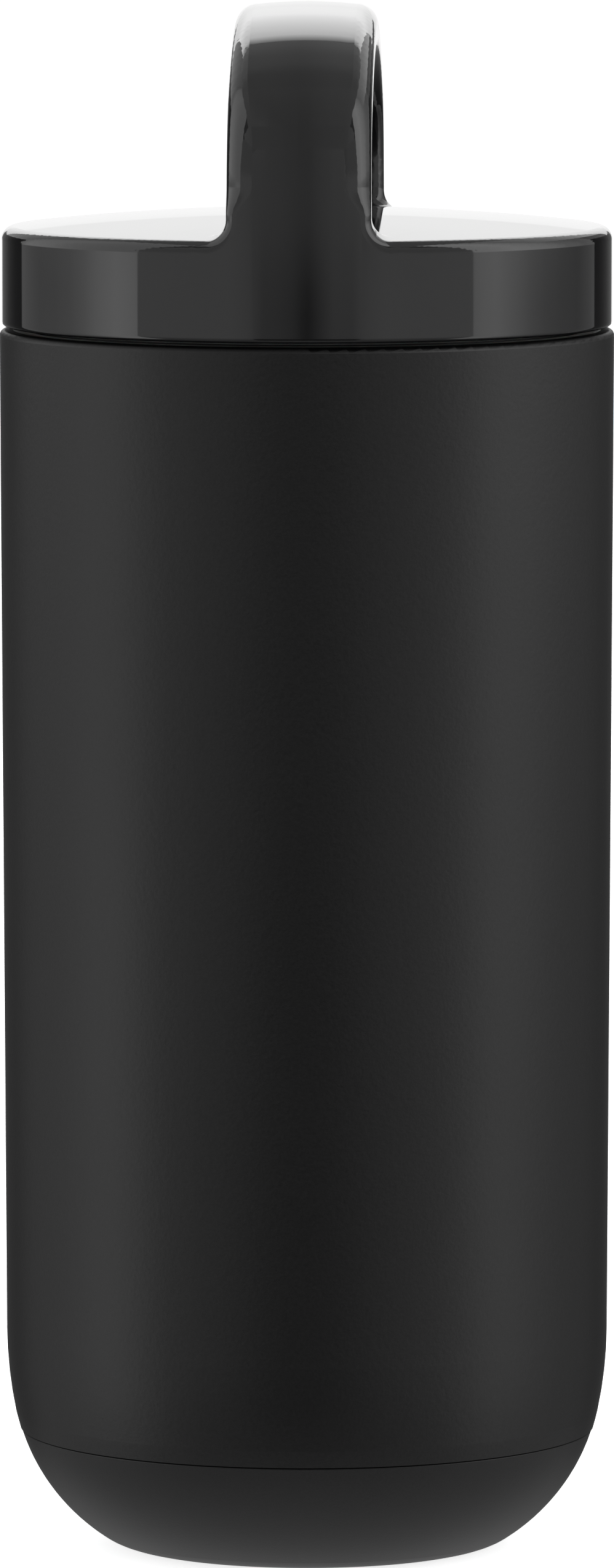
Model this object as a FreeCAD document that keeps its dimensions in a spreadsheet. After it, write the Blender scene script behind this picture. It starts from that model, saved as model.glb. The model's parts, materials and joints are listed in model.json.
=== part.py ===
import FreeCAD, Part
import os
import re

import Sketcher

# Double-wall insulated travel tumbler with a screw lid and a carrying loop moulded with the lid.
# Millimetres, +Z up, origin at the centre of the base. The loop runs front to back, from -Y to +Y.

DIMENSIONS = {
    # outer form of the vessel, from the rim down to the flat of the base
    "rim_height": 149.8,
    "body_radius": 37.6,
    "rim_rounding": 0.7,
    "side_taper": 0.2865,
    "side_blend_radius": 50.0,
    "side_blend_angle": 12.0,
    "heel_radius": 24.3,
    "heel_angle": 57.3,
    "edge_radius": 7.1,
    # steel walls and the necked end that the base cup covers
    "steel_wall": 0.6,
    "rim_weld_radius": 36.0,
    "shell_end_angle": 17.05,
    "shell_step_angle": 14.2,
    "neck_offset": 2.1,
    "bottom_weld_angle": 31.0,
    # base cup, its adhesive and the pad under it
    "cup_top_angle": 17.5,
    "cup_inset": 0.1,
    "cup_wall": 1.8,
    "cup_top_rounding": 0.12,
    "adhesive_outer_radius": 19.0,
    "adhesive_inner_radius": 8.0,
    "pad_radius": 19.5,
    "pad_clearance": 0.15,
    "pad_thickness": 0.8,
    "pad_rounding": 0.35,
    # evacuation dimple, its sealing bead and the getter on the outer bottom
    "dimple_radius": 6.0,
    "dimple_top_radius": 4.4,
    "dimple_depth": 1.2,
    "hole_radius": 0.8,
    "bead_radius": 2.4,
    "bead_flat_radius": 1.44,
    "bead_drop": 0.9,
    "getter_place": 14.0,
    "clip_radius": 5.0,
    "clip_window_radius": 3.4,
    "clip_sheet": 0.25,
    "clip_rise": 2.0,
    "pellet_radius": 4.5,
    "pellet_thickness": 1.4,
    # inner wall and its foils
    "mouth_radius": 34.0,
    "lip_rounding": 0.5,
    "neck_bottom": 130.0,
    "liner_low_radius": 33.3,
    "floor_height": 10.0,
    "floor_corner": 18.0,
    "foil_gap": 0.05,
    "foil_sheet": 0.15,
    "foil_bottom": 32.0,
    "foil_top": 128.0,
    "foil_disc_radius": 14.0,
    # three-start screw thread between mouth and plug
    "thread_lead": 12.0,
    "thread_starts": 3,
    "ridge_turns": 0.27,
    "ridge_root": 2.2,
    "ridge_crest": 1.0,
    "ridge_bury": 0.25,
    "mouth_ridge_tip": 32.95,
    "mouth_ridge_height": 141.2,
    "plug_ridge_tip": 33.65,
    "plug_ridge_height": 139.2,
    # lid: skirt, domed top, ceiling
    "lid_bottom": 150.25,
    "lid_radius": 37.35,
    "lid_edge_rounding": 0.6,
    "lid_inner_radius": 35.25,
    "lid_ceiling": 2.3,
    "dome_top": 164.5,
    "dome_radius": 318.0,
    # carrying loop
    "loop_top": 189.9,
    "loop_rise": 21.0,
    "loop_shoulder": 14.0,
    "loop_thickness": 5.5,
    "loop_foot": 161.3,
    "loop_foot_half_width": 8.7,
    "loop_top_half_width": 8.6,
    "loop_inner_rounding": 1.4,
    "loop_foot_fillet": 2.5,
    "lid_outer_rounding": 1.6,
    "leg_outer_rounding": 3.7,
    "arch_outer_rounding": 2.6,
    # plug, its cover, the foam and the seal
    "plug_radius": 32.6,
    "plug_wall": 2.0,
    "plug_bottom": 131.0,
    "plug_chamfer": 0.6,
    "flange_radius": 35.2,
    "flange_bottom": 152.4,
    "flange_top": 154.0,
    "cover_radius": 31.6,
    "cover_thickness": 1.2,
    "foam_clearance": 0.1,
    "foam_top": 160.1,
    "seal_inner_radius": 33.05,
    "seal_outer_radius": 34.95,
    "seal_bottom": 149.95,
    "seal_top": 152.1,
    "seal_bead": 0.95,
}

NEAR = 0.05

doc = FreeCAD.newDocument("tumbler")


def fill_sheet():
    """The driving dimensions, one row each, as plain numbers with an alias."""
    sheet = doc.addObject("Spreadsheet::Sheet", "dims")
    for row, (alias, number) in enumerate(DIMENSIONS.items(), start=1):
        sheet.set(f"A{row}", alias)
        sheet.set(f"B{row}", str(number))
        sheet.setAlias(f"B{row}", alias)
    doc.recompute()


def on_sheet(text):
    """The expression with every alias written as a reference to the sheet."""
    return re.sub(r"[a-z_]+", lambda word: f"dims.{word[0]}" if word[0] in DIMENSIONS else word[0], text)


def bind(thing, **expressions):
    """Binds properties to expressions over the sheet; two underscores stand for a dot."""
    for name, text in expressions.items():
        thing.setExpression(name.replace("__", "."), on_sheet(text))


def number(thing, text):
    """What an expression over the sheet comes to."""
    found = thing.evalExpression(on_sheet(text))
    return float(getattr(found, "Value", found))


def new_body(label):
    body = doc.addObject("PartDesign::Body", label)
    body.Label = label
    return body


def origin_feature(body, role):
    return next(feature for feature in body.Origin.OriginFeatures if feature.Role == role)


def new_sketch(body, name, plane):
    """An empty sketch on one of the body's own origin planes."""
    sketch = body.newObject("Sketcher::SketchObject", f"{body.Name}_{name}")
    sketch.AttachmentSupport = [(origin_feature(body, plane), "")]
    sketch.MapMode = "FlatFace"
    return sketch


# ---------------------------------------------------------------------------------------------------
# Sketched outlines. A corner is (x, y), or (x, y, radius, side) when the edge that leaves it is an arc,
# with the arc's centre to the LEFT or RIGHT of the way from this corner to the next.
# ---------------------------------------------------------------------------------------------------

LEFT, RIGHT = 1, -1
START, END = 1, 2
HORIZONTAL_AXIS, VERTICAL_AXIS, ORIGIN_POINT = -1, -2, (-1, 1)
UP = FreeCAD.Vector(0, 0, 1)


def arc_between(start, end, radius, side):
    """The shorter arc of this radius from start to end; its ends run anticlockwise."""
    chord = end - start
    sagging = FreeCAD.Vector(-chord.y, chord.x, 0).normalize() * side
    centre = (start + end) / 2 + sagging * (radius**2 - (chord.Length / 2) ** 2) ** 0.5
    circle = Part.Circle(centre, UP, radius)
    first, last = (start, end) if side == LEFT else (end, start)
    return Part.ArcOfCircle(circle, circle.parameter(first), circle.parameter(last))


def pin(sketch, point, axis, text, name):
    """Holds one coordinate of a point at an expression; a zero puts the point on the other axis."""
    edge, end = point
    if text == "0":
        across = VERTICAL_AXIS if axis == "X" else HORIZONTAL_AXIS
        sketch.addConstraint(Sketcher.Constraint("PointOnObject", edge, end, across))
        return
    held = Sketcher.Constraint(f"Distance{axis}", *ORIGIN_POINT, edge, end, number(sketch, text))
    sketch.renameConstraint(sketch.addConstraint(held), name)
    sketch.setExpression(f"Constraints.{name}", on_sheet(text))


def draw_outline(sketch, corners):
    """One closed outline, fully held by the sheet."""
    first = sketch.GeometryCount
    places = [FreeCAD.Vector(number(sketch, corner[0]), number(sketch, corner[1]), 0) for corner in corners]
    ends = []
    for index, corner in enumerate(corners):
        here, there = places[index], places[(index + 1) % len(corners)]
        if len(corner) == 2:
            edge = sketch.addGeometry(Part.LineSegment(here, there), False)
            ends.append(((edge, START), (edge, END)))
            continue
        radius, side = corner[2:]
        edge = sketch.addGeometry(arc_between(here, there, number(sketch, radius), side), False)
        name = f"radius_{edge}"
        held = Sketcher.Constraint("Radius", edge, number(sketch, radius))
        sketch.renameConstraint(sketch.addConstraint(held), name)
        sketch.setExpression(f"Constraints.{name}", on_sheet(radius))
        ends.append(((edge, START), (edge, END)) if side == LEFT else ((edge, END), (edge, START)))
    for index, corner in enumerate(corners):
        arriving, leaving = ends[index - 1][1], ends[index][0]
        sketch.addConstraint(Sketcher.Constraint("Coincident", *arriving, *leaving))
        pin(sketch, leaving, "X", corner[0], f"across_{first + index}")
        pin(sketch, leaving, "Y", corner[1], f"height_{first + index}")
    if sketch.solve() != 0:
        raise RuntimeError(f"{sketch.Name} can't be solved")


def turned(body, name, corners, kind="Revolution"):
    """A full turn of an outline about the vertical axis, added as a Revolution or cut as a Groove."""
    sketch = new_sketch(body, f"{name}_outline", "XZ_Plane")
    draw_outline(sketch, corners)
    feature = body.newObject(f"PartDesign::{kind}", f"{body.Name}_{name}")
    feature.Profile = sketch
    feature.ReferenceAxis = (sketch, ["V_Axis"])
    feature.Angle = 360
    return feature


def turned_body(label, corners):
    body = new_body(label)
    turned(body, "turned", corners)
    return body


def reach(point):
    """Distance from the tumbler's axis."""
    return (point.x**2 + point.y**2) ** 0.5


def edges_where(feature, wanted):
    """Names of the feature's edges whose middle point passes the test."""
    found = []
    for index, edge in enumerate(feature.Shape.Edges, start=1):
        middle = edge.valueAt((edge.FirstParameter + edge.LastParameter) / 2)
        if not edge.Degenerated and wanted(middle):
            found.append(f"Edge{index}")
    if not found:
        raise RuntimeError(f"no edge found on {feature.Name}")
    return found


def only_edge(feature, wanted):
    """The number of the one edge whose middle point passes the test."""
    (name,) = edges_where(feature, wanted)
    return int(name.removeprefix("Edge"))


def rounded(body, name, wanted, radius):
    """A fillet on every edge of the body's tip whose middle passes the test."""
    doc.recompute()
    base = body.Tip
    fillet = body.newObject("PartDesign::Fillet", f"{body.Name}_{name}")
    fillet.Base = (base, edges_where(base, wanted))
    bind(fillet, Radius=radius)
    doc.recompute()
    return fillet


# ---------------------------------------------------------------------------------------------------
# Outer form of the vessel: a slightly tapered side, a gentle blend, the heel arc and the base's edge,
# each arc tangent to the next. Offsets measure inwards from it.
# ---------------------------------------------------------------------------------------------------


def cosine(angle):
    return f"cos({angle} * 1deg)"


def sine(angle):
    return f"sin({angle} * 1deg)"


EDGE_Z = "edge_radius"
HEEL_Z = f"({EDGE_Z} + (heel_radius - edge_radius) * {sine('heel_angle')})"
SIDE_Z = f"({HEEL_Z} + (side_blend_radius - heel_radius) * {sine('side_blend_angle')})"
TAPER_Z = f"({SIDE_Z} - side_blend_radius * {sine('side_taper')})"
TAPER_X = f"(body_radius - (rim_height - rim_rounding - {TAPER_Z}) * tan(side_taper * 1deg))"
SIDE_X = f"({TAPER_X} - side_blend_radius * {cosine('side_taper')})"
HEEL_X = f"({SIDE_X} + (side_blend_radius - heel_radius) * {cosine('side_blend_angle')})"
EDGE_X = f"({HEEL_X} + (heel_radius - edge_radius) * {cosine('heel_angle')})"


def on_arc(centre_x, centre_z, radius, angle):
    return (f"{centre_x} + ({radius}) * {cosine(angle)}", f"{centre_z} - ({radius}) * {sine(angle)}")


def on_side(offset, angle):
    """A point of the blend between side and heel; the angle is the slope away from upright."""
    return on_arc(SIDE_X, SIDE_Z, f"side_blend_radius - {offset}", angle)


def on_heel(offset, angle):
    return on_arc(HEEL_X, HEEL_Z, f"heel_radius - {offset}", angle)


def outer_shell():
    """Outer wall: turned-in rim, tapered side, and a necked end that goes inside the base cup."""
    neck_inside = "(neck_offset + steel_wall)"
    return turned_body("outer_shell", [
        ("rim_weld_radius", "rim_height"),
        ("body_radius - rim_rounding", "rim_height", "rim_rounding", RIGHT),
        ("body_radius", "rim_height - rim_rounding"),
        (*on_side("0", "side_taper"), "side_blend_radius", RIGHT),
        (*on_side("0", "side_blend_angle"), "heel_radius", RIGHT),
        on_heel("0", "shell_end_angle"),
        (*on_heel("neck_offset", "shell_end_angle"), "heel_radius - neck_offset", RIGHT),
        on_heel("neck_offset", "bottom_weld_angle"),
        (*on_heel(neck_inside, "bottom_weld_angle"), f"heel_radius - {neck_inside}", LEFT),
        on_heel(neck_inside, "shell_step_angle"),
        (*on_heel("steel_wall", "shell_step_angle"), "heel_radius - steel_wall", LEFT),
        (*on_heel("steel_wall", "side_blend_angle"), "side_blend_radius - steel_wall", LEFT),
        on_side("steel_wall", "side_taper"),
        ("body_radius - steel_wall", "rim_height - steel_wall"),
        ("rim_weld_radius", "rim_height - steel_wall"),
    ])


def outer_bottom():
    """Pressed bottom of the outer wall, with the dimple and hole the air is drawn out through."""
    inside = "(neck_offset + steel_wall)"
    return turned_body("outer_bottom", [
        (*on_heel("neck_offset", "bottom_weld_angle"), "heel_radius - neck_offset", RIGHT),
        (*on_heel("neck_offset", "heel_angle"), "edge_radius - neck_offset", RIGHT),
        (EDGE_X, "neck_offset"),
        ("dimple_radius", "neck_offset"),
        ("dimple_top_radius", "neck_offset + dimple_depth"),
        ("hole_radius", "neck_offset + dimple_depth"),
        ("hole_radius", f"{inside} + dimple_depth"),
        ("dimple_top_radius + steel_wall / 2", f"{inside} + dimple_depth"),
        ("dimple_radius + steel_wall / 2", inside),
        (EDGE_X, inside, f"edge_radius - {inside}", LEFT),
        (*on_heel(inside, "heel_angle"), f"heel_radius - {inside}", LEFT),
        on_heel(inside, "bottom_weld_angle"),
    ])


def evacuation_bead():
    """Solder bead in the dimple, drawn up into the hole."""
    under = "(neck_offset + dimple_depth)"
    return turned_body("evacuation_bead", [
        ("0", f"{under} - bead_drop"),
        ("bead_flat_radius", f"{under} - bead_drop", "bead_radius", LEFT),
        ("bead_radius", under),
        ("hole_radius", under),
        ("hole_radius", f"{under} + steel_wall"),
        ("0", f"{under} + steel_wall"),
    ])


def getter_clip():
    """Pressed clip that stands on the outer bottom inside the vacuum and holds the getter."""
    foot = "(neck_offset + steel_wall)"
    body = turned_body("getter_clip", [
        ("0", foot),
        ("clip_radius", foot),
        ("clip_radius", f"{foot} + clip_rise"),
        ("clip_window_radius", f"{foot} + clip_rise"),
        ("clip_window_radius", f"{foot} + clip_rise - clip_sheet"),
        ("clip_radius - clip_sheet", f"{foot} + clip_rise - clip_sheet"),
        ("clip_radius - clip_sheet", f"{foot} + clip_sheet"),
        ("0", f"{foot} + clip_sheet"),
    ])
    bind(body, Placement__Base__x="getter_place")
    return body


def cylinder(label, radius, length, base, across="0"):
    """An upright primitive cylinder standing at a height and a place along X."""
    made = doc.addObject("Part::Cylinder", label)
    made.Label = label
    bind(made, Radius=radius, Height=length, Placement__Base__z=base, Placement__Base__x=across)
    return made


def getter_pellet():
    base = "neck_offset + steel_wall + clip_sheet"
    return cylinder("getter_pellet", "pellet_radius", "pellet_thickness", base, "getter_place")


def base_cup():
    """Rounded cup over the necked end and the bottom, recessed underneath for the pad."""
    recess = "(pad_radius + pad_clearance)"
    body = turned_body("base_cup", [
        (*on_heel("cup_inset", "cup_top_angle"), "heel_radius - cup_inset", RIGHT),
        (*on_heel("cup_inset", "heel_angle"), "edge_radius - cup_inset", RIGHT),
        (EDGE_X, "cup_inset"),
        (recess, "cup_inset"),
        (recess, "pad_thickness"),
        ("0", "pad_thickness"),
        ("0", "cup_wall"),
        (EDGE_X, "cup_wall", "edge_radius - cup_wall", LEFT),
        (*on_heel("cup_wall", "heel_angle"), "heel_radius - cup_wall", LEFT),
        on_heel("cup_wall", "cup_top_angle"),
    ])
    cup_top = number(body, on_heel("cup_inset", "cup_top_angle")[1])
    cup_reach = number(body, on_heel("cup_inset", "cup_top_angle")[0])

    def on_top_edge(point):
        return abs(point.z - cup_top) < NEAR and abs(reach(point) - cup_reach) < NEAR

    rounded(body, "top_rounding", on_top_edge, "cup_top_rounding")
    return body


def cup_adhesive():
    """Adhesive ring between the outer bottom and the base cup."""
    outer = cylinder("adhesive_disc", "adhesive_outer_radius", "neck_offset - cup_wall", "cup_wall")
    inner = cylinder("adhesive_opening", "adhesive_inner_radius", "neck_offset - cup_wall", "cup_wall")
    ring = doc.addObject("Part::Cut", "cup_adhesive")
    ring.Label = "cup_adhesive"
    ring.Base = outer
    ring.Tool = inner
    return ring


def base_pad():
    """Anti-slip pad: a disc that stands just proud of the cup, its lower edge rounded."""
    body = new_body("base_pad")
    sketch = new_sketch(body, "disc", "XY_Plane")
    edge = sketch.addGeometry(Part.Circle(FreeCAD.Vector(0, 0, 0), UP, number(body, "pad_radius")), False)
    sketch.addConstraint(Sketcher.Constraint("Coincident", edge, 3, *ORIGIN_POINT))
    held = Sketcher.Constraint("Radius", edge, number(body, "pad_radius"))
    sketch.renameConstraint(sketch.addConstraint(held), "radius")
    sketch.setExpression("Constraints.radius", on_sheet("pad_radius"))
    pad = body.newObject("PartDesign::Pad", "base_pad_pad")
    pad.Profile = sketch
    bind(pad, Length="pad_thickness")
    rounded(body, "rounding", lambda point: point.z < number(body, "pad_rounding"), "pad_rounding")
    return body


def ridges(body, tip, height, buried):
    """The starts of a screw thread: one helical ridge, repeated round the axis."""
    sketch = new_sketch(body, "ridge", "XZ_Plane")
    draw_outline(sketch, [
        (buried, f"{height} - ridge_root / 2"),
        (tip, f"{height} - ridge_crest / 2"),
        (tip, f"{height} + ridge_crest / 2"),
        (buried, f"{height} + ridge_root / 2"),
    ])
    helix = body.newObject("PartDesign::AdditiveHelix", f"{body.Name}_ridge_helix")
    helix.Profile = sketch
    helix.ReferenceAxis = (sketch, ["V_Axis"])
    helix.Mode = "pitch-turns-angle"
    bind(helix, Pitch="thread_lead", Turns="ridge_turns")
    doc.recompute()
    pattern = body.newObject("PartDesign::PolarPattern", f"{body.Name}_starts")
    pattern.Originals = [helix]
    pattern.Axis = (origin_feature(body, "Z_Axis"), [""])
    pattern.Angle = 360
    bind(pattern, Occurrences="thread_starts")
    body.Tip = pattern


def inner_liner():
    """Inner wall: mouth flange, straight neck with the rolled thread, slightly tapered side."""
    weld_z = "(floor_height + floor_corner)"
    body = turned_body("inner_liner", [
        ("rim_weld_radius", "rim_height"),
        ("mouth_radius + lip_rounding", "rim_height", "lip_rounding", LEFT),
        ("mouth_radius", "rim_height - lip_rounding"),
        ("mouth_radius", "neck_bottom"),
        ("liner_low_radius", weld_z),
        ("liner_low_radius + steel_wall", weld_z),
        ("mouth_radius + steel_wall", "neck_bottom"),
        ("mouth_radius + steel_wall", "rim_height - steel_wall"),
        ("rim_weld_radius", "rim_height - steel_wall"),
    ])
    ridges(body, "mouth_ridge_tip", "mouth_ridge_height", "mouth_radius + ridge_bury")
    return body


def inner_bottom():
    """Pressed bottom of the inner wall, with a large easy-to-clean corner."""
    weld_z = "(floor_height + floor_corner)"
    return turned_body("inner_bottom", [
        ("liner_low_radius", weld_z, "floor_corner", RIGHT),
        ("liner_low_radius - floor_corner", "floor_height"),
        ("0", "floor_height"),
        ("0", "floor_height - steel_wall"),
        ("liner_low_radius - floor_corner", "floor_height - steel_wall", "floor_corner + steel_wall", LEFT),
        ("liner_low_radius + steel_wall", weld_z),
    ])


def foil_wrap():
    """Foil laid round the tapered part of the inner wall."""
    weld_z = "(floor_height + floor_corner)"
    spread = f"((mouth_radius - liner_low_radius) / (neck_bottom - {weld_z}))"

    def beside_wall(height, outwards):
        at_wall = f"liner_low_radius + steel_wall + ({height} - {weld_z}) * {spread}"
        return (f"{at_wall} + {outwards}", height)

    return turned_body("foil_wrap", [
        beside_wall("foil_bottom", "foil_gap"),
        beside_wall("foil_top", "foil_gap"),
        beside_wall("foil_top", "foil_gap + foil_sheet"),
        beside_wall("foil_bottom", "foil_gap + foil_sheet"),
    ])


def foil_disc():
    base = "floor_height - steel_wall - foil_sheet"
    return cylinder("foil_disc", "foil_disc_radius", "foil_sheet", base)


def lid_plug():
    """Threaded sleeve of the lid: bonding flange at the top, rebate for the cover at the bottom."""
    body = turned_body("lid_plug", [
        ("flange_radius", "flange_bottom"),
        ("flange_radius", "flange_top"),
        ("plug_radius - plug_wall", "flange_top"),
        ("plug_radius - plug_wall", "plug_bottom + cover_thickness"),
        ("cover_radius", "plug_bottom + cover_thickness"),
        ("cover_radius", "plug_bottom"),
        ("plug_radius - plug_chamfer", "plug_bottom"),
        ("plug_radius", "plug_bottom + plug_chamfer"),
        ("plug_radius", "flange_bottom"),
    ])
    ridges(body, "plug_ridge_tip", "plug_ridge_height", "plug_radius - ridge_bury")
    return body


def plug_cover():
    return cylinder("plug_cover", "cover_radius", "cover_thickness", "plug_bottom")


def lid_foam():
    """Foam that fills the plug and the space under the lid's ceiling."""
    bore = "plug_radius - plug_wall - foam_clearance"
    return turned_body("lid_foam", [
        ("0", "plug_bottom + cover_thickness"),
        (bore, "plug_bottom + cover_thickness"),
        (bore, "flange_top"),
        ("lid_inner_radius - foam_clearance", "flange_top"),
        ("lid_inner_radius - foam_clearance", "foam_top"),
        ("0", "foam_top"),
    ])


def lid_seal():
    """Silicone ring under the flange: a flat back and a rounded bead that meets the rim."""
    return turned_body("lid_seal", [
        ("seal_inner_radius", "seal_top"),
        ("seal_inner_radius", "seal_bottom + seal_bead", "seal_bead", LEFT),
        ("seal_inner_radius + seal_bead", "seal_bottom", "seal_bead", LEFT),
        ("seal_outer_radius", "seal_bottom + seal_bead"),
        ("seal_outer_radius", "seal_top"),
    ])


# ---------------------------------------------------------------------------------------------------
# Lid with its loop: the loop is the middle slab of a bell-shaped shell that continues the lid's side.
# Its crown arc and its shoulder arcs are tangent, and so are the shoulders and the upright legs.
# ---------------------------------------------------------------------------------------------------

SPRING_Z = "(loop_top - loop_rise)"
SHOULDER_X = "(lid_radius - loop_shoulder)"
CROWN = f"(({SHOULDER_X}^2 + loop_rise^2 - loop_shoulder^2) / (2 * (loop_rise - loop_shoulder)))"
DOME_Z = "(dome_top - dome_radius)"


def crown_end(offset):
    """Where the crown arc, offset inwards, passes into the shoulder arc."""
    share = f"({CROWN} - {offset}) / ({CROWN} - loop_shoulder)"
    return (f"{SHOULDER_X} * {share}", f"loop_top - {CROWN} + ({CROWN} - loop_rise) * {share}")


def dome_height(radius, depth):
    """Height of the domed top, or of a surface some way under it, at a distance from the axis."""
    return f"({DOME_Z} + sqrt((dome_radius - {depth})^2 - {radius}^2))"


def loop_blank(body):
    """The bell-shaped shell, from the foot of the legs up to the crown."""
    thick = "loop_thickness"
    turned(body, "bell", [
        ("lid_radius", "loop_foot"),
        ("lid_radius", SPRING_Z, "loop_shoulder", LEFT),
        (*crown_end("0"), CROWN, LEFT),
        ("0", "loop_top"),
        ("0", f"loop_top - {thick}", f"{CROWN} - {thick}", RIGHT),
        (*crown_end(thick), f"loop_shoulder - {thick}", RIGHT),
        (f"lid_radius - {thick}", SPRING_Z),
        (f"lid_radius - {thick}", "loop_foot"),
    ])


def loop_sides(body):
    """Cuts the shell down to the loop's width, a little narrower at the top."""
    sketch = new_sketch(body, "sides", "XZ_Plane")
    beyond = "(lid_radius + 2)"
    below, above = "(loop_foot - 1)", "(loop_top + 1)"
    draw_outline(sketch, [
        ("loop_foot_half_width", below),
        (beyond, below),
        (beyond, above),
        ("loop_top_half_width", above),
    ])
    draw_outline(sketch, [
        ("-loop_foot_half_width", below),
        ("-loop_top_half_width", above),
        (f"-{beyond}", above),
        (f"-{beyond}", below),
    ])
    before = body.Tip.Shape.Volume
    pocket = body.newObject("PartDesign::Pocket", "lid_cap_sides")
    pocket.Profile = sketch
    pocket.SideType = "Symmetric"
    pocket.Type = "Length"
    bind(pocket, Length="4 * lid_radius")
    doc.recompute()
    if pocket.Shape.Volume > before / 2:
        raise RuntimeError("the loop's sides were not cut")


def lid_shell(body):
    """Skirt and domed top of the lid, hollow underneath."""
    turned(body, "shell", [
        ("lid_inner_radius", "lid_bottom"),
        ("lid_radius - lid_edge_rounding", "lid_bottom", "lid_edge_rounding", LEFT),
        ("lid_radius", "lid_bottom + lid_edge_rounding"),
        ("lid_radius", dome_height("lid_radius", "0"), "dome_radius", LEFT),
        ("0", "dome_top"),
        ("0", "dome_top - lid_ceiling", "dome_radius - lid_ceiling", RIGHT),
        ("lid_inner_radius", dome_height("lid_inner_radius", "lid_ceiling")),
    ])


def front_right_quarter(body):
    """A quarter of a body that is the same on both sides and at both ends."""
    box = doc.addObject("Part::Box", f"{body.Name}_quarter_box")
    bind(box, Length="2 * lid_radius", Width="2 * lid_radius", Height="2 * loop_top")
    bind(box, Placement__Base__y="-2 * lid_radius")
    quarter = doc.addObject("Part::Common", f"{body.Name}_quarter")
    quarter.Base = body
    quarter.Tool = box
    doc.recompute()
    return quarter


def with_mirror_image(thing, label, normal):
    """A shape joined to its mirror image across a plane through the axis."""
    image = doc.addObject("Part::Mirroring", f"{label}_image")
    image.Source = thing
    image.Normal = normal
    joined = doc.addObject("Part::MultiFuse", label)
    joined.Shapes = [thing, image]
    joined.Refine = True
    doc.recompute()
    return joined


def lid_cap():
    """Lid and loop in one moulding: inner edges of the loop and its feet rounded, then the outer edge.

    The outer edge runs from the lid's rim up the leg, over the shoulder and along the arch. Its rounding
    is small at the rim, full on the leg and less again on the arch, so it is made on one quarter and
    mirrored.
    """
    body = new_body("lid_blank")
    loop_blank(body)
    doc.recompute()
    loop_sides(body)
    lid_shell(body)
    doc.recompute()
    side, spring = number(body, "lid_radius"), number(body, SPRING_Z)
    dome_radius, dome_z = number(body, "dome_radius"), number(body, DOME_Z)
    narrow, wide = number(body, "loop_top_half_width"), number(body, "loop_foot_half_width")
    midway = number(body, "loop_thickness / 2")
    middle_rise = number(body, "loop_rise") - midway
    shoulder = number(body, "loop_shoulder")

    def above_dome(point):
        return (reach(point) ** 2 + (point.z - dome_z) ** 2) ** 0.5 - dome_radius

    def inside_arch(point):
        """Whether a point is nearer the finger gap than the outside: inside an ellipse midway between."""
        return (reach(point) / (side - midway)) ** 2 + (max(point.z - spring, 0) / middle_rise) ** 2 < 1

    def beside_loop(point):
        return narrow - NEAR < abs(point.x) < wide + NEAR and above_dome(point) > NEAR

    def inner_long_edge(point):
        return beside_loop(point) and inside_arch(point)

    def foot_edge(point):
        at_foot = reach(point) < side - NEAR and abs(point.x) < wide + NEAR
        return at_foot and abs(above_dome(point)) < NEAR

    def on_lid_side(point):
        return abs(reach(point) - side) < NEAR

    def flare_edge(point):
        return on_lid_side(point) and abs(point.x) > wide + NEAR and above_dome(point) > NEAR

    def leg_edge(point):
        return on_lid_side(point) and beside_loop(point)

    def shoulder_edge(point):
        at_shoulder = point.z > spring + NEAR and reach(point) > side - shoulder
        return at_shoulder and beside_loop(point) and not inside_arch(point)

    rounded(body, "inner_rounding", inner_long_edge, "loop_inner_rounding")
    rounded(body, "foot_fillet", foot_edge, "loop_foot_fillet")
    quarter = front_right_quarter(body)
    at_rim, at_leg = number(body, "lid_outer_rounding"), number(body, "leg_outer_rounding")
    at_arch = number(body, "arch_outer_rounding")
    fillet = doc.addObject("Part::Fillet", "lid_outer_edge")
    fillet.Base = quarter
    fillet.Edges = [
        (only_edge(quarter, flare_edge), at_rim, at_rim),
        (only_edge(quarter, leg_edge), at_rim, at_leg),
        (only_edge(quarter, shoulder_edge), at_arch, at_leg),
    ]
    half = with_mirror_image(fillet, "lid_half", FreeCAD.Vector(1, 0, 0))
    return with_mirror_image(half, "lid_cap", FreeCAD.Vector(0, 1, 0))


SUB_PARTS = [
    outer_shell, outer_bottom, evacuation_bead, getter_clip, getter_pellet, inner_liner, inner_bottom,
    foil_wrap, foil_disc, base_cup, cup_adhesive, base_pad, lid_cap, lid_plug, plug_cover, lid_foam, lid_seal,
]


def check_document(parts):
    """Stops on any failed object, and on a sub-part that is not one valid solid."""
    for thing in doc.Objects:
        if "Invalid" in thing.State or "Error" in thing.State:
            raise RuntimeError(f"{thing.Name} failed: {thing.State}")
    for part in parts:
        if part.Shape.isNull() or not part.Shape.isValid() or len(part.Shape.Solids) != 1:
            raise RuntimeError(f"{part.Label} is not one valid solid")


def main():
    fill_sheet()
    parts = [make() for make in SUB_PARTS]
    doc.recompute()
    check_document(parts)
    os.makedirs("parts", exist_ok=True)
    for part in parts:
        part.Shape.exportStep(f"parts/{part.Label}.step")
        print(f"{part.Label:18} {part.Shape.Volume:12.1f} mm3")


main()
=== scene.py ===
import json
import math

import bpy
from mathutils import Matrix, Vector


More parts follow.
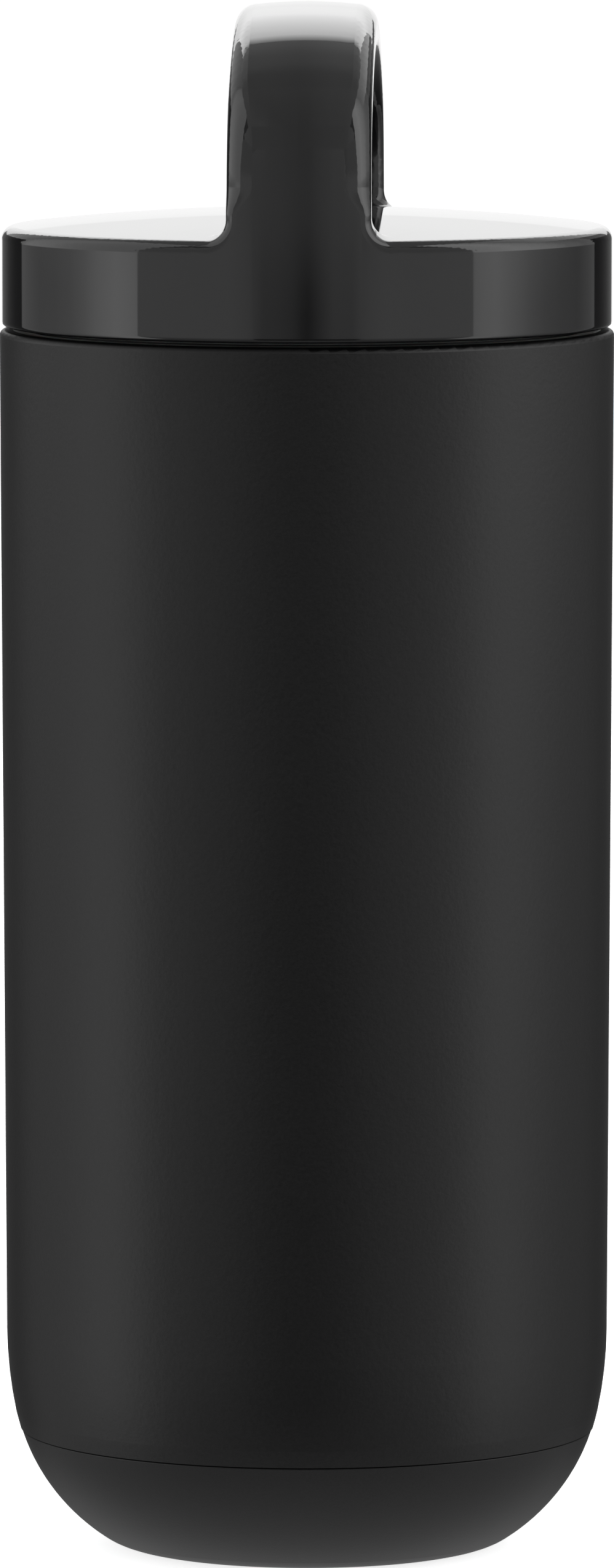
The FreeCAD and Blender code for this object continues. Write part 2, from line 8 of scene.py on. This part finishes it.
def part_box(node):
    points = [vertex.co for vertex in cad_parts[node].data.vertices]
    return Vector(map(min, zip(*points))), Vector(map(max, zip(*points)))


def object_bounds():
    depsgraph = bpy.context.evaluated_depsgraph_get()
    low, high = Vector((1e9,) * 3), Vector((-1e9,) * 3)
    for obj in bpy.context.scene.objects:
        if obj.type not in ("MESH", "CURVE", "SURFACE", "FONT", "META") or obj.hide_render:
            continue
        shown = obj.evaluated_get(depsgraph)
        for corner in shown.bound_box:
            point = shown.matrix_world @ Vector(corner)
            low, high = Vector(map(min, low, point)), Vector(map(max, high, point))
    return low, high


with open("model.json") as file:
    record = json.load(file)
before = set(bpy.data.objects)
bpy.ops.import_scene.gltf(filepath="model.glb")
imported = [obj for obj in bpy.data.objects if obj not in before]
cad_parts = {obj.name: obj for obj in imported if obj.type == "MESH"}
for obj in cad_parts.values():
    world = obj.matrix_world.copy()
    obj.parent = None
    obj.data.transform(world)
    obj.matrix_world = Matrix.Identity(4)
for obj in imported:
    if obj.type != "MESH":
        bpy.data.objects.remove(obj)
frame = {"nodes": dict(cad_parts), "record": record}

# Insulated travel tumbler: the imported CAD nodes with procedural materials, on a plain pale floor in soft
# studio light. Metres, +Z up, the loop runs front to back and -Y is the front.

cad_low, cad_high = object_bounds()
axis_point = (cad_low + cad_high) / 2


# ------------------------------------------------------------------------------------- camera
# A long lens a little above the lid, turned slightly to the right of the loop's plane.

CAMERA_DISTANCE = 1.4952
CAMERA_HEIGHT = 0.2419
CAMERA_TURN = 0.0287
CAMERA_PITCH = 0.0987
LENS_MM = 281.0

camera_data = bpy.data.cameras.new("camera")
camera_data.lens = LENS_MM
camera_data.sensor_width = 36.0
camera_data.clip_start, camera_data.clip_end = 0.05, 30.0
camera = bpy.data.objects.new("camera", camera_data)
bpy.context.scene.collection.objects.link(camera)
camera.location = (
    axis_point.x + CAMERA_DISTANCE * math.sin(CAMERA_TURN),
    axis_point.y - CAMERA_DISTANCE * math.cos(CAMERA_TURN),
    cad_low.z + CAMERA_HEIGHT,
)
camera.rotation_euler = (math.pi / 2 - CAMERA_PITCH, 0.0, CAMERA_TURN)
bpy.context.scene.camera = camera


# ------------------------------------------------------------------------------------- node helpers

# Most of a noise's values lie between these.
MOST_FROM, MOST_TO = 0.3, 0.7


class Nodes:
    """A material's node tree, with short calls for adding and joining nodes."""

    def __init__(self, name):
        self.material = bpy.data.materials.new(name)
        self.material.use_nodes = True
        self.tree = self.material.node_tree
        self.shader = next(n for n in self.tree.nodes if n.type == "BSDF_PRINCIPLED")

    def add(self, kind, inputs=None, **settings):
        node = self.tree.nodes.new(f"ShaderNode{kind}")
        for name, value in settings.items():
            setattr(node, name, value)
        for name, value in (inputs or {}).items():
            self.put(node.inputs[name], value)
        return node

    def put(self, socket, value):
        """Joins a socket to another, or sets it."""
        if isinstance(value, bpy.types.NodeSocket):
            self.tree.links.new(value, socket)
        else:
            socket.default_value = value

    def coordinates(self, scale=(1.0, 1.0, 1.0)):
        place = self.add("TexCoord")
        mapped = self.add("Mapping", {"Vector": place.outputs["Object"], "Scale": scale})
        return mapped.outputs["Vector"]

    def height(self):
        return self.add("SeparateXYZ", {"Vector": self.coordinates()}).outputs["Z"]

    def noise(self, scale, detail=2.0, roughness=0.5, vector=None):
        inputs = {"Scale": scale, "Detail": detail, "Roughness": roughness}
        inputs["Vector"] = self.coordinates() if vector is None else vector
        return self.add("TexNoise", inputs).outputs["Fac"]

    def spread(self, factor, low, high, start=MOST_FROM, end=MOST_TO):
        """A factor between start and end carried to low..high."""
        inputs = {"Value": factor, "From Min": start, "From Max": end, "To Min": low, "To Max": high}
        return self.add("MapRange", inputs).outputs["Result"]

    def colour(self, factor, low, high, start=MOST_FROM, end=MOST_TO):
        """A colour between two, by a factor between start and end."""
        inputs = {"Factor": self.spread(factor, 0.0, 1.0, start, end)}
        mix = self.add("Mix", inputs, data_type="RGBA")
        self.put(mix.inputs[6], (*low, 1.0))
        self.put(mix.inputs[7], (*high, 1.0))
        return mix.outputs[2]

    def bump(self, height, distance, strength=1.0, after=None):
        inputs = {"Height": height, "Distance": distance, "Strength": strength}
        if after is not None:
            inputs["Normal"] = after
        return self.add("Bump", inputs).outputs["Normal"]

    def times(self, first, second):
        product = self.add("Math", operation="MULTIPLY")
        self.put(product.inputs[0], first)
        self.put(product.inputs[1], second)
        return product.outputs["Value"]

    def graded(self, factor, stops):
        """A share of the full strength along a factor, from stops of (position, share)."""
        ramp = self.add("ValToRGB", {"Fac": factor})
        elements = ramp.color_ramp.elements
        for element, (position, share) in zip(elements, (stops[0], stops[-1])):
            element.position, element.color = position, (share, share, share, 1.0)
        for position, share in stops[1:-1]:
            elements.new(position).color = (share, share, share, 1.0)
        return ramp.outputs["Color"]

    def surface(self, shader):
        """Puts another shader on the material's surface."""
        output = next(n for n in self.tree.nodes if n.type == "OUTPUT_MATERIAL")
        self.put(output.inputs["Surface"], shader)
        return self.material

    def shine(self, strength):
        """Makes the material a plain light."""
        self.tree.nodes.remove(self.shader)
        return self.surface(self.add("Emission", {"Strength": strength}).outputs["Emission"])

    def finish(self, **sockets):
        for name, value in sockets.items():
            self.put(self.shader.inputs[name.replace("_", " ")], value)
        return self.material


# ------------------------------------------------------------------------------------- materials

# How strongly the coats reflect, and how far below the rim and above the lid's foot the shine drops: painted
# shade in the gap between lid and body.
COAT_SHINE, SHADED_RIM_COAT_SHINE = 0.34, 0.03
LID_SHINE, SHADED_FOOT_LID_SHINE = 0.5, 0.05
RIM_SHADE_FADE = (0.0006, 0.0002)
FOOT_SHADE_FADE = (0.0001, 0.0004)


def powder_coat():
    """Matte black powder coat: a fine pebbled skin with tiny lighter grains, its reflection faded just below
    the rim as painted shade under the lid.
    """
    made = Nodes("powder_coat")
    grain = made.noise(3200.0, 3.0, 0.6)
    pebble = made.noise(1400.0, 2.0, 0.5)
    drift = made.noise(18.0, 3.0, 0.5)
    shade = made.colour(grain, (0.0010, 0.0010, 0.0011), (0.0030, 0.0030, 0.0031), 0.35, 0.7)
    rough = made.spread(drift, 0.40, 0.44)
    skin = made.bump(pebble, 0.00006, 0.35)
    skin = made.bump(grain, 0.00003, 0.35, after=skin)
    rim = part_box("outer_shell")[1].z
    # The reflection fades out just below the rim: painted shade in the gap under the lid.
    shine = made.spread(made.height(), COAT_SHINE, SHADED_RIM_COAT_SHINE, rim - RIM_SHADE_FADE[0], rim - RIM_SHADE_FADE[1])
    return made.finish(Base_Color=shade, Roughness=rough, Normal=skin, Specular_IOR_Level=shine)


def cup_coat():
    """The base cup's coat: as dark, a little smoother and finer."""
    made = Nodes("cup_coat")
    grain = made.noise(3600.0, 3.0, 0.6)
    drift = made.noise(22.0, 3.0, 0.5)
    shade = made.colour(grain, (0.0020, 0.0020, 0.0021), (0.0040, 0.0040, 0.0042), 0.35, 0.7)
    rough = made.spread(drift, 0.40, 0.44)
    skin = made.bump(grain, 0.00003, 0.3)
    return made.finish(Base_Color=shade, Roughness=rough, Normal=skin, Specular_IOR_Level=COAT_SHINE)


def gloss_lid():
    """Glossy black moulding: a faint ripple, haze where it is handled, and a foot whose reflection is faded
    as painted shade over the rim.
    """
    made = Nodes("gloss_lid")
    ripple = made.noise(120.0, 1.0, 0.4)
    haze = made.noise(45.0, 4.0, 0.6)
    shade = made.colour(haze, (0.0035, 0.0035, 0.0037), (0.0050, 0.0050, 0.0052))
    rough = made.spread(haze, 0.03, 0.06, 0.35, 0.75)
    skin = made.bump(ripple, 0.00001, 0.12)
    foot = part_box("lid_cap")[0].z
    # The reflection fades out at the lid's foot: painted shade in the gap over the rim.
    shine = made.spread(made.height(), SHADED_FOOT_LID_SHINE, LID_SHINE, foot + FOOT_SHADE_FADE[0], foot + FOOT_SHADE_FADE[1])
    return made.finish(Base_Color=shade, Roughness=rough, Normal=skin, Specular_IOR_Level=shine)


def plug_plastic():
    """Moulded plastic with a fine spark texture."""
    made = Nodes("plug_plastic")
    spark = made.noise(2200.0, 2.0, 0.6)
    shade = made.colour(spark, (0.018, 0.018, 0.019), (0.030, 0.030, 0.031))
    rough = made.spread(spark, 0.36, 0.5)
    return made.finish(Base_Color=shade, Roughness=rough, Normal=made.bump(spark, 0.00004, 0.3))


def raw_steel():
    """Drawn and polished stainless steel, with fine turning lines round the axis."""
    made = Nodes("raw_steel")
    lines = made.noise(1.0, 3.0, 0.7, vector=made.coordinates((60.0, 60.0, 9000.0)))
    cloud = made.noise(40.0, 3.0, 0.5)
    shade = made.colour(cloud, (0.56, 0.555, 0.54), (0.66, 0.655, 0.64))
    rough = made.spread(lines, 0.24, 0.38)
    skin = made.bump(lines, 0.00001, 0.25)
    return made.finish(Base_Color=shade, Roughness=rough, Metallic=1.0, Normal=skin)


def foil():
    """Bright crinkled foil."""
    made = Nodes("foil")
    crinkle = made.noise(260.0, 4.0, 0.6)
    shade = made.colour(crinkle, (0.78, 0.78, 0.79), (0.88, 0.88, 0.89))
    rough = made.spread(crinkle, 0.18, 0.32)
    return made.finish(
        Base_Color=shade, Roughness=rough, Metallic=1.0, Normal=made.bump(crinkle, 0.0002, 0.4)
    )


def silicone():
    """Milky grey silicone."""
    made = Nodes("silicone")
    cloud = made.noise(300.0, 3.0, 0.5)
    shade = made.colour(cloud, (0.44, 0.44, 0.43), (0.54, 0.54, 0.53))
    rough = made.spread(cloud, 0.42, 0.54)
    return made.finish(
        Base_Color=shade, Roughness=rough, Subsurface_Weight=0.25, Subsurface_Scale=0.002,
        Normal=made.bump(cloud, 0.00003, 0.2),
    )


def pad_rubber():
    """Matte black rubber with a fine grain."""
    made = Nodes("pad_rubber")
    grain = made.noise(1800.0, 3.0, 0.6)
    shade = made.colour(grain, (0.014, 0.014, 0.014), (0.026, 0.026, 0.026))
    rough = made.spread(grain, 0.72, 0.86)
    return made.finish(Base_Color=shade, Roughness=rough, Normal=made.bump(grain, 0.00005, 0.4))


def adhesive():
    """Foam tape."""
    made = Nodes("adhesive")
    cells = made.noise(1500.0, 3.0, 0.6)
    shade = made.colour(cells, (0.62, 0.60, 0.52), (0.76, 0.74, 0.66))
    rough = made.spread(cells, 0.6, 0.8)
    return made.finish(Base_Color=shade, Roughness=rough, Normal=made.bump(cells, 0.00005, 0.4))


def getter():
    """Sintered grey metal."""
    made = Nodes("getter")
    grains = made.noise(2600.0, 4.0, 0.7)
    shade = made.colour(grains, (0.14, 0.14, 0.145), (0.28, 0.28, 0.29))
    rough = made.spread(grains, 0.5, 0.7)
    return made.finish(
        Base_Color=shade, Roughness=rough, Metallic=0.8, Normal=made.bump(grains, 0.00005, 0.5)
    )


def seal_glass():
    """Fused brown sealing bead."""
    made = Nodes("seal_glass")
    cloud = made.noise(500.0, 3.0, 0.5)
    shade = made.colour(cloud, (0.10, 0.07, 0.045), (0.18, 0.13, 0.09))
    rough = made.spread(cloud, 0.15, 0.28)
    return made.finish(Base_Color=shade, Roughness=rough, Normal=made.bump(cloud, 0.00005, 0.2))


def foam():
    """White expanded foam: beads pressed together."""
    made = Nodes("foam")
    inputs = {"Scale": 450.0, "Vector": made.coordinates()}
    beads = made.add("TexVoronoi", inputs).outputs["Distance"]
    shade = made.colour(beads, (0.88, 0.87, 0.83), (0.74, 0.73, 0.69), 0.1, 0.8)
    rough = made.spread(beads, 0.7, 0.85, 0.0, 1.0)
    return made.finish(Base_Color=shade, Roughness=rough, Normal=made.bump(beads, 0.0003, 0.5))


MATERIALS = {
    make.__name__: make()
    for make in (
        powder_coat, cup_coat, gloss_lid, plug_plastic, raw_steel, foil, silicone, pad_rubber, adhesive,
        getter, seal_glass, foam,
    )
}

for subpart in frame["record"]["subparts"]:
    node = frame["nodes"][subpart["node"]]
    node.data.materials.clear()
    node.data.materials.append(MATERIALS[subpart["material_slot"]])


# ------------------------------------------------------------------------------------- stage
# The glossy lid mirrors the panels round the tumbler, so their places and their brightness draw its bands.
# A panel's strength is a peak times shares, given as stops of (position, share) along its sides, from 0
# to 1: across it the way the azimuth grows, or from front to back for the panels beside the tumbler, and
# upward from its foot. The ceiling's foot is its front edge.


def stage_plane(name, centre, across, up, width, height, material):
    """A rectangle of the stage, facing across x up."""
    across, up = Vector(across).normalized(), Vector(up).normalized()
    centre = Vector(centre)
    corners = [
        centre + across * width / 2 * side + up * height / 2 * end
        for side, end in ((-1, -1), (1, -1), (1, 1), (-1, 1))
    ]
    mesh = bpy.data.meshes.new(name)
    mesh.from_pydata(corners, [], [(0, 1, 2, 3)])
    layer = mesh.uv_layers.new(name="panel")
    for loop, uv in zip(layer.data, ((0, 0), (1, 0), (1, 1), (0, 1))):
        loop.uv = uv
    mesh.materials.append(material)
    made = bpy.data.objects.new(name, mesh)
    bpy.context.scene.collection.objects.link(made)
    return made


def glow(name, peak, across=None, upward=None, above=None, rise=None):
    """Light from a panel, graded along its width and its height.

    With above and rise it has two tiers: across below, and above where rise is one.
    """
    made = Nodes(name)
    place = made.add("SeparateXYZ", {"Vector": made.add("TexCoord").outputs["UV"]}).outputs
    strength = peak
    if across:
        share = made.graded(place["X"], across)
        if above:
            tiers = made.add("Mix", {"Factor": made.graded(place["Y"], rise)})
            made.put(tiers.inputs[2], share)
            made.put(tiers.inputs[3], made.graded(place["X"], above))
            share = tiers.outputs[0]
        strength = made.times(share, strength)
    if upward:
        strength = made.times(made.graded(place["Y"], upward), strength)
    return made.shine(strength)


def round_glow(name, peak, stops):
    """Light from a panel, graded outwards from its middle."""
    made = Nodes(name)
    from_middle = made.add("VectorMath", operation="SUBTRACT")
    made.put(from_middle.inputs[0], made.add("TexCoord").outputs["UV"])
    made.put(from_middle.inputs[1], (0.5, 0.5, 0.0))
    reach = made.add("VectorMath", operation="LENGTH")
    made.put(reach.inputs[0], from_middle.outputs["Vector"])
    return made.shine(made.times(made.graded(reach.outputs["Value"], stops), peak))


def lit_floor():
    """White table, lit evenly; seen from underneath it is clear, so that it never hides the base."""
    made = Nodes("floor")
    drift = made.noise(3.0, 2.0, 0.5)
    made.finish(
        Base_Color=made.colour(drift, (0.80, 0.80, 0.80), (0.82, 0.82, 0.82)),
        Roughness=0.9, Specular_IOR_Level=0.2,
        Emission_Color=(1.0, 1.0, 1.0, 1.0), Emission_Strength=0.80,
    )
    mix = made.add("MixShader", {"Fac": made.add("NewGeometry").outputs["Backfacing"]})
    made.put(mix.inputs[1], made.shader.outputs["BSDF"])
    made.put(mix.inputs[2], made.add("BsdfTransparent").outputs["BSDF"])
    return made.surface(mix.outputs["Shader"])


FLOOR_SIZE = 14.0
NEAR_FLOOR_SIZE = 0.5
NEAR_FLOOR_DROP = 0.1

foot = Vector((axis_point.x, axis_point.y, cad_low.z))
floor = stage_plane("floor", foot, (1, 0, 0), (0, 1, 0), FLOOR_SIZE, FLOOR_SIZE, lit_floor())
floor.visible_glossy = False

# What the tumbler's foot mirrors of the floor: brightest right under it.
near_floor = stage_plane(
    "floor_near", foot - Vector((0, 0, NEAR_FLOOR_DROP)), (1, 0, 0), (0, 1, 0),
    NEAR_FLOOR_SIZE, NEAR_FLOOR_SIZE,
    round_glow("floor_near", 0.95, [(0.0, 0.9), (0.18, 0.72), (0.40, 0.45), (0.5, 0.35)]),
)
near_floor.visible_camera = near_floor.visible_diffuse = near_floor.visible_shadow = False


# ------------------------------------------------------------------------------------- light

LIGHT_HEIGHT = 0.12
light_centre = foot + Vector((0, 0, LIGHT_HEIGHT))


def span(distance, half_angle):
    """The width of a panel that is seen from the tumbler under twice an angle."""
    return distance * 2 * math.tan(math.radians(half_angle))


def panel(name, azimuth, elevation, distance, width, height, material):
    """A panel facing the tumbler; azimuth is measured from the camera towards its right-hand side."""
    a, e = math.radians(azimuth) + CAMERA_TURN, math.radians(elevation)
    outward = Vector((math.sin(a) * math.cos(e), -math.cos(a) * math.cos(e), math.sin(e)))
    across = Vector((math.cos(a), math.sin(a), 0.0))
    made = stage_plane(
        name, light_centre + outward * distance, across, outward.cross(across), width, height, material
    )
    made.visible_camera = False


def turned(place):
    """From the camera's own right, depth and height to the frame's."""
    return Matrix.Rotation(CAMERA_TURN, 3, "Z") @ Vector(place)


def side_panel(name, distance, front, back, low, high, material):
    """A panel beside the tumbler, parallel to the line of sight; a negative distance is to the left."""
    place = turned((distance, (front + back) / 2, (low + high) / 2))
    made = stage_plane(name, place, turned((0, 1, 0)), (0, 0, 1), back - front, high - low, material)
    made.visible_camera = False


# Softboxes on both sides, brightest near their front edges. From about the lid's height up they are
# graded differently.
SIDE = 0.8
SOFTBOX_LOW, SOFTBOX_HIGH = -0.9, 2.0
SOFTBOX_RISE = [(0.349, 0.0), (0.379, 1.0)]
side_panel("softbox_left", -SIDE, -0.368, 0.796, SOFTBOX_LOW, SOFTBOX_HIGH, glow(
    "softbox_left", 1.98,
    across=[(0.0, 0.90), (0.06, 0.97), (0.13, 1.0), (0.24, 0.80), (0.33, 0.55), (0.42, 0.39), (0.54, 0.28),
            (0.69, 0.21), (1.0, 0.20)],
    above=[(0.0, 0.72), (0.60, 0.66), (0.85, 0.50), (1.0, 0.30)],
    rise=SOFTBOX_RISE,
))
side_panel("softbox_right", SIDE, -0.390, 0.870, SOFTBOX_LOW, SOFTBOX_HIGH, glow(
    "softbox_right", 2.62,
    across=[(0.0, 0.60), (0.06, 0.65), (0.13, 0.67), (0.24, 0.48), (0.33, 0.32), (0.42, 0.22), (0.54, 0.15),
            (0.69, 0.10), (1.0, 0.115)],
    above=[(0.0, 0.95), (0.25, 1.0), (0.45, 0.65), (0.60, 0.35), (0.80, 0.20), (1.0, 0.18)],
    rise=SOFTBOX_RISE,
))

# Grey panels high up towards the back, for the shoulders of the loop. The right one starts in front of the
# softbox's rear part, so it stands a little nearer.
REAR_BACK = 2.4
NEARER = 0.01
side_panel("rear_left", -SIDE, 0.80, REAR_BACK, 0.45, SOFTBOX_HIGH, glow("rear_left", 0.6))
side_panel("rear_right", SIDE - NEARER, 0.25, REAR_BACK, 0.72, SOFTBOX_HIGH, glow("rear_right", 1.15))

# Dark cards beyond the softboxes, which draw the edges.
CARD_BACK = 4.2
CARD_LOW, CARD_HIGH = -3.0, 0.45
dark = glow("dark_card", 0.2, across=[(0.0, 0.15), (0.08, 0.2), (0.38, 0.65), (1.0, 1.0)])
side_panel("card_left", -SIDE, 0.80, CARD_BACK, CARD_LOW, CARD_HIGH, dark)
side_panel("card_right", SIDE, 0.874, CARD_BACK, CARD_LOW, CARD_HIGH, dark)

# White walls to the left and right of the camera, and a dimmer one behind it.
WALL_AZIMUTH = 43.0
WALL_HALF_ANGLE = 23.0
WALL_DISTANCE = 1.1755
MIDDLE_HALF_ANGLE = 20.0
MIDDLE_DISTANCE = 1.2
WALL_HEIGHT = 1.8
wall_upward = [(0.0, 0.5), (0.32, 0.7), (0.42, 1.0), (0.58, 1.0), (0.68, 0.8), (1.0, 0.8)]
towards_middle = [(0.0, 1.0), (0.80, 1.0), (0.93, 0.9), (1.0, 0.80)]
from_middle = [(1.0 - position, share) for position, share in reversed(towards_middle)]
for name, azimuth, fade in (
    ("wall_left", -WALL_AZIMUTH, towards_middle), ("wall_right", WALL_AZIMUTH, from_middle)
):
    panel(name, azimuth=azimuth, elevation=0.0, distance=WALL_DISTANCE,
          width=span(WALL_DISTANCE, WALL_HALF_ANGLE), height=WALL_HEIGHT,
          material=glow(name, 0.84, across=fade, upward=wall_upward))
middle_glow = glow(
    "wall_middle", 1.0,
    across=[(0.0, 0.64), (0.11, 0.44), (0.20, 0.42), (0.29, 0.37), (0.38, 0.30), (0.456, 0.15), (0.51, 0.10),
            (0.56, 0.19), (0.60, 0.27), (0.735, 0.53), (0.91, 0.53), (1.0, 0.72)],
    upward=[(0.0, 0.05), (0.30, 0.12), (0.42, 0.42), (0.478, 1.0), (1.0, 1.0)],
    above=[(0.0, 0.72), (0.05, 0.66), (0.10, 0.61), (0.28, 0.55), (0.42, 0.47), (0.52, 0.46), (0.62, 0.57),
           (0.75, 0.68), (0.90, 0.76), (1.0, 0.85)],
    rise=[(0.4815, 0.0), (0.4844, 0.25), (0.4875, 0.70), (0.491, 1.0)],
)
panel("wall_middle", azimuth=0.0, elevation=0.0, distance=MIDDLE_DISTANCE,
      width=span(MIDDLE_DISTANCE, MIDDLE_HALF_ANGLE), height=WALL_HEIGHT, material=middle_glow)

# Above the camera and overhead, darker in the middle like the wall below.
high_glow = glow(
    "wall_high", 0.80,
    across=[(0.0, 1.0), (0.25, 0.95), (0.31, 0.92), (0.34, 0.78), (0.38, 0.75), (0.43, 0.68), (0.49, 0.57),
            (0.55, 0.71), (0.61, 0.80), (0.66, 0.80), (0.75, 0.90), (1.0, 1.0)],
)
panel("wall_high", azimuth=0.0, elevation=46.5, distance=1.5, width=3.0, height=0.80, material=high_glow)
ceiling_glow = glow(
    "ceiling", 0.86,
    across=[(0.0, 0.83), (0.27, 0.83), (0.31, 0.72), (0.36, 0.63), (0.43, 0.60), (0.49, 0.55), (0.56, 0.67),
            (0.64, 0.75), (0.72, 0.77), (1.0, 0.83)],
    upward=[(0.0, 0.98), (0.31, 0.98), (0.5, 0.92), (0.61, 0.83), (0.69, 0.70), (0.75, 0.70), (0.81, 0.84),
            (0.88, 0.84), (0.95, 0.96), (1.0, 1.0)],
)
panel("ceiling", azimuth=0.0, elevation=95.0, distance=1.5, width=1.8, height=2.26, material=ceiling_glow)

# Overhead light behind the tumbler, which the top of the loop and the dome mirror, and the white
# background below it.
TOP_DISTANCE, TOP_HALF_ANGLE = 1.6, 20.0
top_glow = glow(
    "softbox_top", 3.1,
    upward=[(0.0, 0.42), (0.25, 0.62), (0.5, 0.95), (0.8, 1.0), (0.9, 0.95), (1.0, 0.3)],
)
panel("softbox_top", azimuth=180.0, elevation=28.0, distance=TOP_DISTANCE, width=1.2,
      height=span(TOP_DISTANCE, TOP_HALF_ANGLE), material=top_glow)
BACKDROP_DISTANCE, BACKDROP_HALF_ANGLE = 2.2, 6.0
panel("backdrop", azimuth=180.0, elevation=2.0, distance=BACKDROP_DISTANCE, width=0.86,
      height=span(BACKDROP_DISTANCE, BACKDROP_HALF_ANGLE),
      material=glow("backdrop", 1.45, upward=[(0.0, 0.68), (0.4, 0.74), (1.0, 1.0)]))

# A white background for the camera, and a dim one for everything else.
AROUND, SEEN_BY_CAMERA = 0.28, 1.0
world = bpy.data.worlds.new("studio")
bpy.context.scene.world = world
world.use_nodes = True
tree = world.node_tree
background = next(n for n in tree.nodes if n.type == "BACKGROUND")
background.inputs["Color"].default_value = (1.0, 1.0, 1.0, 1.0)
path = tree.nodes.new("ShaderNodeLightPath")
strength = tree.nodes.new("ShaderNodeMapRange")
strength.inputs["To Min"].default_value = AROUND
strength.inputs["To Max"].default_value = SEEN_BY_CAMERA
tree.links.new(path.outputs["Is Camera Ray"], strength.inputs["Value"])
tree.links.new(strength.outputs["Result"], background.inputs["Strength"])

bpy.context.scene.view_settings.view_transform = "Standard"
